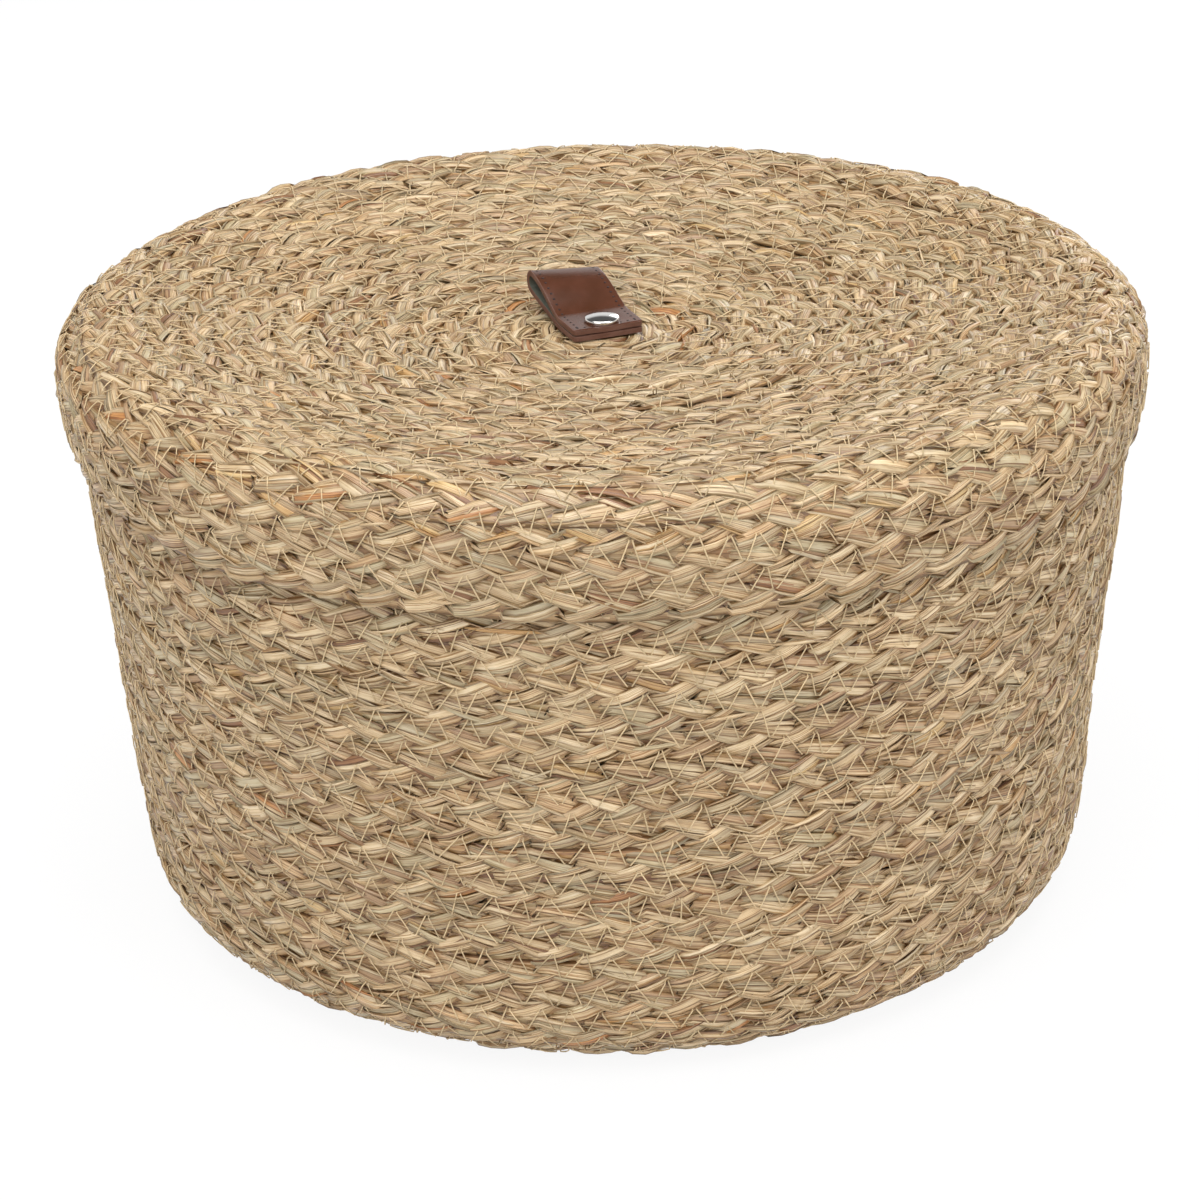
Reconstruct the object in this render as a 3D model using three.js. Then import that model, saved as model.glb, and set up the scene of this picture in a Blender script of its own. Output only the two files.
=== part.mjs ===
// A round seagrass basket with a lift-off lid. Basket and lid are each wound from one flat plait, sewn
// row to row, and the lid has a folded leather pull, held by a rivet. Millimetres, +Z up, origin under
// the middle of the base.
import * as THREE from 'three';
import { mergeVertices } from 'three/addons/utils/BufferGeometryUtils.js';

// Plait
const plaitWidth = 9.2; // one row, seam to seam
const plaitThickness = 5;
const seamDepth = 1.5; // groove between two rows
const facets = 40; // round each turn of the plait

// Basket
const baseRadius = 125; // flat base, inside the turned-up corner
const cornerRadius = 20;
const wallLean = THREE.MathUtils.degToRad(4.5);
const shoulderHeight = 138; // widest row of the wall, just under the lid
const neckInset = 2.2; // the wall is drawn in where the lid goes over it
const neckRise = 10;
const rimHeight = 174.2;

// Lid
const skirtDepth = 34.6;
const skirtBulge = 1.8; // widest row of the skirt, past its lower edge
const edgeRadius = 14; // rolled edge between top and skirt
const dishDepth = 14; // the top sags to the rivet
const dishSlope = THREE.MathUtils.degToRad(12); // of the top, where it meets the rolled edge

// Leather pull
const strapWidth = 22;
const strapThickness = 1.7;
const strapEnd = 5.6; // from the rivet to the two cut ends
const strapCorner = 1.5;
const bendReach = 7.2; // from the rivet to the line where the pull bends
const loopReach = 22.6; // from that line to the middle of the fold
const foldGap = 2.5; // open space inside the fold
const strapRise = THREE.MathUtils.degToRad(12.5);
const strapTurn = THREE.MathUtils.degToRad(21);

// Rivet
const capRadius = 5.2;
const capHeight = 2.2;
const capLip = 0.6; // straight edge under the dome
const discThickness = 1.6;
const postRadius = 1.6;
const socketDepth = 1.1; // how far the post goes into the cap

// Clearances
const seat = 0.3; // between a piece and what it rests on
const lidFit = 0.8; // round the neck, inside the skirt
const postFit = 0.3; // round the post
const bendGap = 0.4; // where the pull bends

// Faces along the inner side of each shell
const wallInnerFaces = 12;
const topInnerFaces = 5;
const skirtInnerFaces = 8;
const baseInnerFaces = 1;
const loopFaces = 10;
const boreFaces = 12;
const rivetFacets = 20;
const domeFaces = 3;

const weldDistance = 1e-3;

// Basket outline
const cornerCentre = baseRadius + seat;
const cornerEnd = new THREE.Vector2(
  cornerCentre + cornerRadius * Math.cos(wallLean),
  cornerRadius - cornerRadius * Math.sin(wallLean),
);
const shoulderRadius = cornerEnd.x + (shoulderHeight - cornerEnd.y) * Math.tan(wallLean);
const neckRadius = shoulderRadius - neckInset;

// Lid outline: the underside of the rolled edge sits on the outer edge of the rim
const skirtFoot = neckRadius + lidFit + plaitThickness;
const lidRadius = skirtFoot + skirtBulge;
const edgeCentre = lidRadius - edgeRadius;
const rimOuterEdge = neckRadius - seamDepth;
const edgeHollow = Math.sqrt((edgeRadius - plaitThickness) ** 2 - (rimOuterEdge - edgeCentre) ** 2);
const lidHeight = rimHeight + seat + edgeRadius - edgeHollow;
const dishHeight = lidHeight - dishDepth;
const inward = new THREE.Vector2(-Math.cos(dishSlope), -Math.sin(dishSlope));
const edgeEnd = new THREE.Vector2(
  edgeCentre - edgeRadius * Math.sin(dishSlope),
  lidHeight - edgeRadius + edgeRadius * Math.cos(dishSlope),
);

// Rivet and pull, stacked on the middle of the lid
const boreRadius = postRadius + postFit;
const lowerEndHeight = dishHeight + seat;
const upperEndHeight = lowerEndHeight + strapThickness + seat;
const stackHeight = upperEndHeight + strapThickness;
const capSeat = stackHeight + seat;
const postTop = capSeat + socketDepth - seat;
const discTop = dishHeight - plaitThickness - seat;

const seagrass = { color: 0xb8a37a, roughness: 0.85, metalness: 0 };
const leather = { color: 0x6d3a24, roughness: 0.45, metalness: 0 };
const nickel = { color: 0xc9c9c7, roughness: 0.2, metalness: 1 };

function namedMesh(name, geometry, finish) {
  const mesh = new THREE.Mesh(geometry, new THREE.MeshStandardMaterial(finish));
  mesh.name = name;
  return mesh;
}

// Joins loose triangles at their corners and drops those that have closed up to a line
function weldTriangles(corners) {
  const welded = mergeVertices(new THREE.BufferGeometry().setFromPoints(corners), weldDistance);
  const order = Array.from(welded.index.array);
  const kept = [];
  for (let i = 0; i < order.length; i += 3) {
    const [a, b, c] = order.slice(i, i + 3);
    if (a !== b && b !== c && c !== a) {
      kept.push(a, b, c);
    }
  }
  welded.setIndex(kept);
  welded.computeVertexNormals();
  return welded;
}

// A shell wound from one plait, which climbs one row in each turn and tapers out at both ends. The outline
// is its showing face, as height over radius, with the shell's thickness on the left of its direction.
function coilShell(outline, innerFaces) {
  const rows = Math.max(1, Math.round(outline.getLength() / plaitWidth));
  const corners = [];

  function place(along, depth, step) {
    const point = outline.getPoint(along);
    const heading = outline.getTangent(along);
    const radius = point.x - depth * heading.y;
    const turn = (2 * Math.PI * (step % facets)) / facets;
    return new THREE.Vector3(radius * Math.cos(turn), radius * Math.sin(turn), point.y + depth * heading.x);
  }

  function quad(a, b, c, d) {
    corners.push(a, b, c, a, c, d);
  }

  // The three lines of one row at one step round the turn: seam, crest, seam
  function rowLines(row, step) {
    const low = THREE.MathUtils.clamp((row - 1 + step / facets) / rows, 0, 1);
    const high = THREE.MathUtils.clamp((row + step / facets) / rows, 0, 1);
    const crestDepth = seamDepth * (1 - (high - low) * rows);
    return [
      place(low, seamDepth, step),
      place((low + high) / 2, crestDepth, step),
      place(high, seamDepth, step),
    ];
  }

  for (let row = 0; row <= rows; row += 1) {
    for (let step = 0; step < facets; step += 1) {
      const here = rowLines(row, step);
      const next = rowLines(row, step + 1);
      quad(here[0], next[0], next[1], here[1]);
      quad(here[1], next[1], next[2], here[2]);
    }
  }

  // Both cut edges and the inner face, from the end of the outline back to its start
  const ring = [[1, seamDepth]];
  for (let face = innerFaces; face >= 0; face -= 1) {
    ring.push([face / innerFaces, plaitThickness]);
  }
  ring.push([0, seamDepth]);
  for (let i = 0; i + 1 < ring.length; i += 1) {
    for (let step = 0; step < facets; step += 1) {
      quad(
        place(...ring[i], step),
        place(...ring[i], step + 1),
        place(...ring[i + 1], step + 1),
        place(...ring[i + 1], step),
      );
    }
  }
  return weldTriangles(corners);
}

// A turned piece from its half section, as height over radius
function turned(section) {
  const geometry = new THREE.LatheGeometry(section, rivetFacets);
  geometry.rotateX(Math.PI / 2);
  return geometry;
}

function basketBase() {
  const outline = new THREE.Path();
  outline.moveTo(baseRadius, plaitThickness);
  outline.lineTo(0, plaitThickness);
  return namedMesh('basket_base', coilShell(outline, baseInnerFaces), seagrass);
}

function basketWall() {
  const outline = new THREE.Path();
  outline.moveTo(cornerCentre, 0);
  outline.absarc(cornerCentre, cornerRadius, cornerRadius, -Math.PI / 2, -wallLean, false);
  outline.lineTo(shoulderRadius, shoulderHeight);
  outline.lineTo(neckRadius, shoulderHeight + neckRise);
  outline.lineTo(neckRadius, rimHeight);
  return namedMesh('basket_wall', coilShell(outline, wallInnerFaces), seagrass);
}

function lidSkirt() {
  const widestHeight = lidHeight - edgeRadius;
  const outline = new THREE.Path();
  outline.moveTo(skirtFoot, lidHeight - skirtDepth);
  outline.quadraticCurveTo(lidRadius, (lidHeight - skirtDepth + widestHeight) / 2, lidRadius, widestHeight);
  outline.absarc(edgeCentre, widestHeight, edgeRadius, 0, Math.PI / 2 + dishSlope, false);
  return namedMesh('lid_skirt', coilShell(outline, skirtInnerFaces), seagrass);
}

function lidTop() {
  const start = edgeEnd.clone().addScaledVector(inward, seat);
  const levelOut = edgeEnd.clone().addScaledVector(inward, (edgeEnd.y - dishHeight) / Math.sin(dishSlope));
  const outline = new THREE.Path();
  outline.moveTo(start.x, start.y);
  outline.quadraticCurveTo(levelOut.x, levelOut.y, boreRadius, dishHeight);
  return namedMesh('lid_top', coilShell(outline, topInnerFaces), seagrass);
}

// One of the two stacked ends of the pull, with the bore for the rivet
function strapEndPiece(name, height) {
  const side = strapWidth / 2;
  const outline = new THREE.Shape();
  outline.moveTo(-side, bendReach);
  outline.lineTo(-side, strapCorner - strapEnd);
  outline.absarc(strapCorner - side, strapCorner - strapEnd, strapCorner, Math.PI, 1.5 * Math.PI, false);
  outline.lineTo(side - strapCorner, -strapEnd);
  outline.absarc(side - strapCorner, strapCorner - strapEnd, strapCorner, 1.5 * Math.PI, 2 * Math.PI, false);
  outline.lineTo(side, bendReach);
  outline.closePath();
  outline.holes.push(new THREE.Path().absarc(0, 0, boreRadius, 0, 2 * Math.PI, true));
  const settings = { depth: strapThickness, bevelEnabled: false, curveSegments: boreFaces };
  const mesh = namedMesh(name, new THREE.ExtrudeGeometry(outline, settings), leather);
  mesh.position.z = height;
  return mesh;
}

// The free part of the pull: two legs that part as they near the fold
function strapLoop() {
  const inner = foldGap / 2;
  const outer = inner + strapThickness;
  const innerStart = seat / 2;
  const outerStart = innerStart + strapThickness;
  const half = loopReach / 2;
  const section = new THREE.Shape();
  section.moveTo(0, -outerStart);
  section.bezierCurveTo(half, -outerStart, half, -outer, loopReach, -outer);
  section.absarc(loopReach, 0, outer, -Math.PI / 2, Math.PI / 2, false);
  section.bezierCurveTo(half, outer, half, outerStart, 0, outerStart);
  section.lineTo(0, innerStart);
  section.bezierCurveTo(half, innerStart, half, inner, loopReach, inner);
  section.absarc(loopReach, 0, inner, Math.PI / 2, -Math.PI / 2, true);
  section.bezierCurveTo(half, -inner, half, -innerStart, 0, -innerStart);
  section.closePath();
  const settings = { depth: strapWidth, bevelEnabled: false, curveSegments: loopFaces };
  const geometry = new THREE.ExtrudeGeometry(section, settings);
  geometry.translate(0, -outerStart, -strapWidth / 2);
  const across = new THREE.Vector3(1, 0, 0);
  const reach = new THREE.Vector3(0, 1, 0);
  const up = new THREE.Vector3(0, 0, 1);
  geometry.applyMatrix4(new THREE.Matrix4().makeBasis(reach, up, across));
  const mesh = namedMesh('strap_loop', geometry, leather);
  mesh.position.set(0, bendReach + bendGap, stackHeight);
  mesh.rotation.x = strapRise;
  return mesh;
}

function pull() {
  const group = new THREE.Group();
  group.add(strapEndPiece('strap_lower_end', lowerEndHeight));
  group.add(strapEndPiece('strap_upper_end', upperEndHeight));
  group.add(strapLoop());
  group.rotation.z = strapTurn;
  return group;
}

function rivetCap() {
  const section = new THREE.Path();
  section.moveTo(0, socketDepth);
  section.lineTo(boreRadius, socketDepth);
  section.lineTo(boreRadius, 0);
  section.lineTo(capRadius, 0);
  section.lineTo(capRadius, capLip);
  section.absellipse(0, capLip, capRadius, capHeight - capLip, 0, Math.PI / 2, false, 0);
  const mesh = namedMesh('rivet_cap', turned(section.getPoints(domeFaces)), nickel);
  mesh.position.z = capSeat;
  return mesh;
}

function rivetStud() {
  const section = [
    new THREE.Vector2(0, discTop - discThickness),
    new THREE.Vector2(capRadius, discTop - discThickness),
    new THREE.Vector2(capRadius, discTop),
    new THREE.Vector2(postRadius, discTop),
    new THREE.Vector2(postRadius, postTop),
    new THREE.Vector2(0, postTop),
  ];
  return namedMesh('rivet_stud', turned(section), nickel);
}

const basket = new THREE.Group();
basket.add(basketBase(), basketWall());

const lid = new THREE.Group();
lid.add(lidTop(), lidSkirt(), rivetCap(), rivetStud(), pull());

const lidded = new THREE.Group();
lidded.add(basket, lid);

export default lidded;
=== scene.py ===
import math
from types import SimpleNamespace as Named

import bpy
import numpy as np
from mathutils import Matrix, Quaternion, Vector


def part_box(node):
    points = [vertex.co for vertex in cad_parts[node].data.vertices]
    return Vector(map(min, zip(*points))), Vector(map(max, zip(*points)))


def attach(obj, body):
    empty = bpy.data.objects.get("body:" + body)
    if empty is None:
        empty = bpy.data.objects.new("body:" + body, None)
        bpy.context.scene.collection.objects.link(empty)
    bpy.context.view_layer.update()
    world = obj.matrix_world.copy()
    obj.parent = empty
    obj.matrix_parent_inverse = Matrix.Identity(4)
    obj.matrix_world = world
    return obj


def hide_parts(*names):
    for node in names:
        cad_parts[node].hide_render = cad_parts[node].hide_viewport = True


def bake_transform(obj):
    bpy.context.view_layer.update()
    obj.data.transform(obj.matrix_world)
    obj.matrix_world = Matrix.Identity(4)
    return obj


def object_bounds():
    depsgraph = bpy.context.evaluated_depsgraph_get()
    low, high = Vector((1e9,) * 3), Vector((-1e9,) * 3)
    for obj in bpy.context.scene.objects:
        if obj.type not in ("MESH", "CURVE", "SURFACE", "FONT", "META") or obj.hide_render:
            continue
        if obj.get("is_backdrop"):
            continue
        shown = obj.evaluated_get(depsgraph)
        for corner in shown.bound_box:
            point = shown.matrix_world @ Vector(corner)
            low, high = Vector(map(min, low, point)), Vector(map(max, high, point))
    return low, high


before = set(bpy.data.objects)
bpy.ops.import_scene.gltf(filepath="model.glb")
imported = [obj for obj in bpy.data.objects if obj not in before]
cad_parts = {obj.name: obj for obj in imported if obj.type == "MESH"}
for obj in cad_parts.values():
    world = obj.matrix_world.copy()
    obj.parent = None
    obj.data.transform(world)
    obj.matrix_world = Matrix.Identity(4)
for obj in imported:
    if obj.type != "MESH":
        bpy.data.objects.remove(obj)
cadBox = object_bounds()
print("frame loaded,", len(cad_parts), "CAD nodes")

tau = 2 * math.pi
mapSpread = 50  # each strip has its own place in the shader's noise, up to this


# Shader maths: a Wire is a socket, and arithmetic on it adds Math nodes
class Wire:
    def __init__(self, tree, socket=None):
        self.tree = tree
        self.socket = socket

    def node(self, kind, settings=None, inputs=None, out=0):
        made = self.tree.nodes.new(kind)
        for key, value in (settings or {}).items():
            setattr(made, key, value)
        for key, value in (inputs or {}).items():
            if isinstance(value, Wire):
                self.tree.links.new(value.socket, made.inputs[key])
            else:
                made.inputs[key].default_value = value
        return Wire(self.tree, made.outputs[out])

    def maths(self, operation, first, second):
        return self.node("ShaderNodeMath", {"operation": operation}, {0: first, 1: second})

    def __add__(self, other):
        return self.maths("ADD", self, other)

    def __mul__(self, other):
        return self.maths("MULTIPLY", self, other)

    def mix(self, first, second, blend="MIX"):
        settings = {"data_type": "RGBA", "blend_type": blend}
        return self.node("ShaderNodeMix", settings, {0: self, 6: first, 7: second}, out=2)

    def attribute(self, name, out):
        return self.node("ShaderNodeAttribute", {"attribute_name": name}, out=out)

    def within(self, limits):
        low, high = limits
        return self * (high - low) + low

    def ramp(self, stops):
        made = self.node("ShaderNodeValToRGB", {}, {0: self})
        elements = made.socket.node.color_ramp.elements
        while len(elements) < len(stops):
            elements.new(0.5)
        for element, (place, shade) in zip(elements, stops):
            element.position = place
            element.color = (*shade, 1) if isinstance(shade, tuple) else (shade, shade, shade, 1)
        return made

    def bump(self, relief):
        return self.node("ShaderNodeBump", {}, relief, out="Normal")

    def noise(self, where):
        return self.node("ShaderNodeTexNoise", {}, {"Vector": where, "Scale": 1.0, "Detail": 2.0})

    def times(self, other):
        return self.node("ShaderNodeVectorMath", {"operation": "MULTIPLY"}, {0: self, 1: other})


def newFinish(name, inputs=None):
    material = bpy.data.materials.new(name)
    material.use_nodes = True
    tree = material.node_tree
    surface = tree.nodes["Principled BSDF"]
    for key, value in (inputs or {}).items():
        surface.inputs[key].default_value = value
    return material, Wire(tree), surface


def feed(wire, target, key):
    wire.tree.links.new(wire.socket, target.inputs[key])


# Small geometry helpers, all on numpy arrays in metres
def unit(vectors):
    return vectors / np.linalg.norm(vectors, axis=-1, keepdims=True)


def smooth(part):
    part = np.clip(part, 0, 1)
    return part * part * (3 - 2 * part)


# Random knots along a length, a set for each name and spacing
def noiseKnots(rng, length, spacings):
    knots = {}
    for name, spacing in spacings.items():
        values = rng.standard_normal(int(length / spacing) + 4)
        knots[name] = Named(spacing=spacing, values=values)
    return knots


def wander(knots, places):
    at = np.clip(places / knots.spacing, 0, len(knots.values) - 2.001)
    low = np.floor(at).astype(int)
    part = smooth(at - low)
    return knots.values[low] * (1 - part) + knots.values[low + 1] * part


# Turns pairs of radius and height about the upright axis
def spun(pairs, angle):
    x, y = pairs[:, 0] * np.cos(angle), pairs[:, 0] * np.sin(angle)
    return np.stack([x, y, pairs[:, 1]], 1)


def arcPoints(centre, radius, start, end, count=24):
    turn = np.radians(np.linspace(start, end, count))
    return [(centre[0] + radius * math.cos(a), centre[1] + radius * math.sin(a)) for a in turn]


def interpPairs(places, run, pairs):
    return np.stack([np.interp(places, run, pairs[:, i]) for i in (0, 1)], 1)


# An outline is height over radius, evenly spaced and slightly eased, with its heading
def easedOutline(points, spacing=0.0002, ease=12):
    points = np.array(points)
    run = np.concatenate([[0], np.cumsum(np.linalg.norm(np.diff(points, axis=0), axis=1))])
    places = np.arange(0, run[-1], spacing)
    line = interpPairs(places, run, points)
    padded = np.pad(line, ((ease, ease), (0, 0)), "reflect", reflect_type="odd")
    window = np.hanning(2 * ease + 1)
    window /= window.sum()
    line = np.stack([np.convolve(padded[:, i], window, "valid") for i in (0, 1)], 1)
    heading = unit(np.gradient(line, axis=0))
    return Named(run=places, line=line, heading=heading, length=places[-1])


def alongOutline(outline, places):
    heading = interpPairs(places, outline.run, outline.heading)
    return interpPairs(places, outline.run, outline.line), unit(heading)


def rightOf(heading):
    return np.stack([heading[:, 1], -heading[:, 0]], 1)


# Quads between the rings of a tube, which all have the same number of corners
def tubeFaces(steps, sides):
    here = np.arange(steps - 1)[:, None] * sides + np.arange(sides)
    beside = np.arange(steps - 1)[:, None] * sides + np.roll(np.arange(sides), -1)
    return np.stack([here, beside, beside + sides, here + sides], -1).reshape(-1, 4)


# A closed tube from the corners of its rings, with one face over each end
def tubeMesh(name, verts, sides):
    faces = tubeFaces(len(verts) // sides, sides).tolist()
    faces += [range(sides)[::-1], range(len(verts) - sides, len(verts))]
    mesh = bpy.data.meshes.new(name)
    mesh.from_pydata(verts, [], faces)
    mesh.shade_smooth()
    return mesh


# Bake layout: strips in rows, with the walls and the ends of a strip at these shares of the row
bakeRow = Named(
    height=0.015,
    margin=1.02,  # of the layout over its longest strip
    gap=1.01,  # from strip to strip
    walls=(0.1, 0.94),
    ends=(0.01, 0.08),
    endLength=0.1,  # of the strip's own length
)


# Collects closed strips of quads, then writes them out as one mesh
class StripBin:
    def __init__(self):
        self.places = []
        self.faces = []
        self.shades = []
        self.maps = []
        self.strips = []
        self.count = 0

    # Each ring is one section of the strip, and all rings have the same even number of corners;
    # the shade is one colour, or one for each corner of each ring
    def add(self, rings, shade, seed, length):
        steps, sides = rings.shape[:2]
        middles = rings.mean(1)
        spokes = rings[1] - middles[1]
        facing = np.cross(spokes, np.roll(spokes, -1, axis=0)).sum(0)
        if facing @ (middles[2] - middles[0]) < 0:
            rings = rings[:, ::-1]
            shade = shade[:, ::-1] if shade.ndim > 1 else shade
        self.places.append(rings.reshape(-1, 3))
        walls = tubeFaces(steps, sides)
        fan = np.array([[0, i + 1, i + 2, i + 3] for i in range(0, sides - 2, 2)])
        lids = np.concatenate([fan[:, ::-1], fan + (steps - 1) * sides])
        self.faces.append(np.concatenate([walls, lids]) + self.count)
        self.shades.append(np.broadcast_to(shade, (steps, sides, 3)).reshape(-1, 3))
        along = np.repeat(np.linspace(0, length, steps), sides)
        around = np.tile(np.arange(sides) / sides, steps)
        self.maps.append(np.stack([along, around, np.full(steps * sides, seed)], 1))
        self.strips.append((steps, sides, len(lids), length))
        self.count += steps * sides

    # Lays every strip flat, one after the other in rows, with its two ends in the gap below it
    def bakeLayout(self):
        lengths = [strip[3] for strip in self.strips]
        width = max(math.sqrt(sum(lengths) * bakeRow.height), max(lengths) * bakeRow.margin)
        spots, x, row = [], 0.0, 0
        for length in lengths:
            if x + length > width:
                x, row = 0.0, row + 1
            spots.append((x / width, row))
            x += length * bakeRow.gap
        low, high = bakeRow.ends
        right = bakeRow.endLength
        square = np.array([(0, low), (0, high), (right, high), (right, low)])
        corners = []
        for (left, level), (steps, sides, lids, length) in zip(spots, self.strips):
            across = np.linspace(left, left + length / width, steps)[:, None] + np.zeros(sides + 1)
            up = (level + np.linspace(*bakeRow.walls, sides + 1) + np.zeros((steps, 1))) / (row + 1)
            net = np.stack([across, up], -1)
            quads = np.stack([net[:-1, :-1], net[:-1, 1:], net[1:, 1:], net[1:, :-1]], 2)
            corners.append(quads.reshape(-1, 2))
            ends = square * (length / width, 1 / (row + 1)) + (left, level / (row + 1))
            corners.append(np.tile(ends, (lids, 1)))
        return np.concatenate(corners)

    def make(self, name, finish):
        mesh = bpy.data.meshes.new(name)
        places = np.concatenate(self.places)
        faces = np.concatenate(self.faces)
        mesh.vertices.add(len(places))
        mesh.vertices.foreach_set("co", places.astype(np.float32).ravel())
        mesh.loops.add(faces.size)
        mesh.loops.foreach_set("vertex_index", faces.astype(np.int32).ravel())
        mesh.polygons.add(len(faces))
        mesh.polygons.foreach_set("loop_start", np.arange(0, faces.size, 4, dtype=np.int32))
        mesh.update(calc_edges=True)
        mesh.shade_smooth()
        tint = mesh.attributes.new("stripColour", "FLOAT_COLOR", "POINT")
        shades = np.concatenate([np.concatenate(self.shades), np.ones((len(places), 1))], 1)
        tint.data.foreach_set("color", shades.astype(np.float32).ravel())
        where = mesh.attributes.new("stripMap", "FLOAT_VECTOR", "POINT")
        where.data.foreach_set("vector", np.concatenate(self.maps).astype(np.float32).ravel())
        bake = mesh.uv_layers.new(name="OFBake")
        bake.uv.foreach_set("vector", self.bakeLayout().astype(np.float32).ravel())
        mesh.materials.append(finish)
        return addPiece(name, mesh)


def addPiece(name, data):
    piece = bpy.data.objects.new(name, data)
    bpy.context.scene.collection.objects.link(piece)
    return piece


# Seagrass: mixed straw, grey-green and brown blades, as (share, linear colour)
seagrass = Named(
    shades=[
        (0.20, (0.59, 0.445, 0.258)),
        (0.30, (0.53, 0.380, 0.206)),
        (0.16, (0.44, 0.350, 0.200)),
        (0.13, (0.49, 0.375, 0.216)),
        (0.12, (0.50, 0.335, 0.172)),
        (0.06, (0.38, 0.235, 0.115)),
        (0.012, (0.52, 0.310, 0.115)),
        (0.006, (0.44, 0.200, 0.058)),
        (0.016, (0.25, 0.115, 0.040)),
        (0.01, (0.56, 0.380, 0.165)),
    ],
    # colour of the flat core, painted shade darker than any blade, seen in the gaps between strands
    core=(0.24, 0.125, 0.040),
    # Random tone along the fibres and in patches; the pale bluish top of this ramp is painted sheen,
    # and its warm dark bottom painted shade
    tones=[(0.30, (0.43, 0.30, 0.165)), (0.50, (1, 1, 1)), (0.68, (1.16, 1.28, 1.53))],
    rim=(0.42, 0.27, 0.11, 1),  # what is left of it at a blade's two edges: painted shade where blades meet
    rims=[(0.0, 1.0), (0.075, 0.0), (0.59, 0.0), (0.667, 1.0), (0.68, 0.0)],
    grooves=(0.50, 0.35, 0.175, 1),  # what is left of the colour between two ribs: painted shade in the grooves
    stain=(0.26, 0.155, 0.08, 1),
    unevenness=0.08,
    unbleached=np.array([0.60, 0.48, 0.31]),  # what is left of a colour deep in the plait: painted shade
    depths=(0.0002, 0.0012),  # over the middle of the plait, where the painted shade starts to lift and where it ends
    roughness=(0.30, 0.54),
    surface={"Specular IOR Level": 0.8},
    ribScale=(22, 16, 37),  # along a blade, around it and from blade to blade
    fibreScale=(70, 34, 37),
    patchScale=(110, 2.2, 53),
    grooveStops=[(0.38, 1.0), (0.45, 0.0)],
    stainStops=[(0.64, 0.0), (0.78, 0.5)],
    ribShare=0.7,  # of the relief, which the fibres fill up
    relief={"Strength": 0.6, "Distance": 0.0003},
)


def seagrassFinish():
    material, wire, surface = newFinish("seagrass", seagrass.surface)
    tint = wire.attribute("stripColour", "Color")
    where = wire.attribute("stripMap", "Vector")
    ribs = wire.noise(where.times(seagrass.ribScale))
    fibres = wire.noise(where.times(seagrass.fibreScale))
    patches = wire.noise(where.times(seagrass.patchScale))
    around = wire.node("ShaderNodeSeparateXYZ", {}, {0: where}, out="Y")
    # Painted shade along each blade's two edges
    edgeShaded = around.ramp(seagrass.rims).mix(tint, seagrass.rim, "MULTIPLY")
    # Painted shade in thin grooves between the ribs
    grooveShaded = ribs.ramp(seagrass.grooveStops).mix(edgeShaded, seagrass.grooves, "MULTIPLY")
    # random tone, with painted sheen at its pale end and painted shade at its dark end
    toneWithSheen = (fibres * 0.5 + patches * 0.5).ramp(seagrass.tones)
    streaked = grooveShaded.times(toneWithSheen)
    stain = patches.ramp(seagrass.stainStops)
    feed(stain.mix(streaked, seagrass.stain), surface, "Base Color")
    feed(fibres.within(seagrass.roughness), surface, "Roughness")
    height = ribs * seagrass.ribShare + fibres * (1 - seagrass.ribShare)
    feed(wire.bump({**seagrass.relief, "Height": height}), surface, "Normal")
    return material


def pickShade(rng):
    shares = np.array([share for share, shade in seagrass.shades])
    chosen = rng.choice(len(shares), p=shares / shares.sum())
    shade = np.array(seagrass.shades[chosen][1])
    return shade * (1 + seagrass.unevenness * rng.standard_normal())


# Painted shade: blades are darker and browner deep in the plait, and paler where they lie open on its
# face
def depthShaded(shade, rings, rows, part):
    height = np.abs(np.sum((rings - rows.middle[part, None]) * rows.out[part, None], -1))
    low, high = seagrass.depths
    faced = smooth((height - low) / (high - low))[..., None]
    return shade * (seagrass.unbleached * (1 - faced) + faced)


# The plait: three strands, each a flat bundle of blades that turns over at every edge
plait = Named(
    strands=3,
    width=0.0092,
    thickness=0.0042,
    climb=0.3,  # share of a turn in which a row climbs to the next
    period=0.042,
    sway=0.0036,  # of a strand's middle, to either side
    straightness=0.97,  # of a strand from edge to edge, where 1 is a sharp zigzag
    lift=0.00075,  # of a strand's middle, over and under
    lag=0.07,  # a strand leaves an edge slowly and comes to the next one fast
    strandWidth=0.0058,
    waist=0.28,  # how much narrower a strand is at an edge
    strandThickness=0.0013,
    bladesPerStrand=7,
    bladeWidth=0.0026,
    bladeThickness=0.0006,
    bladeLength=(0.08, 0.22),
    twistLength=0.5,
    edgeInset=0.0007,  # from the seam to the blades that run along it
    edgeWidth=0.0024,
    edgeThickness=0.0013,
    coreHalf=0.62,  # of a row's width, so that the cores of two rows overlap
    rowShift=0.00035,  # wander of a row, sideways
    rowRise=0.0004,  # and outwards
    phaseWander=0.11,  # of the crossings, as a share of the way between them
    swayWander=0.10,
    wanderShift=0.007,  # along the plait, from one strand's sway to the next one's
    knots={"phase": 0.07, "sway": 0.021, "rise": 0.09, "shift": 0.06},  # spacing of what wanders
    turnFrom=0.7,  # of the way from edge to edge, where a strand starts to turn over
    turnShare=0.3,  # and how much of the way that takes
    thinning=0.88,  # how much of the plait is gone where the last row has run out
    windSteps=240,  # to a turn, when the plait is wound
    fewestSteps=4,  # in a blade
    stepsPerPeriod=13,
    longestTurn=math.radians(15),
    samplesPerPiece=560,
)
plaitStep = plait.period / plait.stepsPerPeriod


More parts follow.
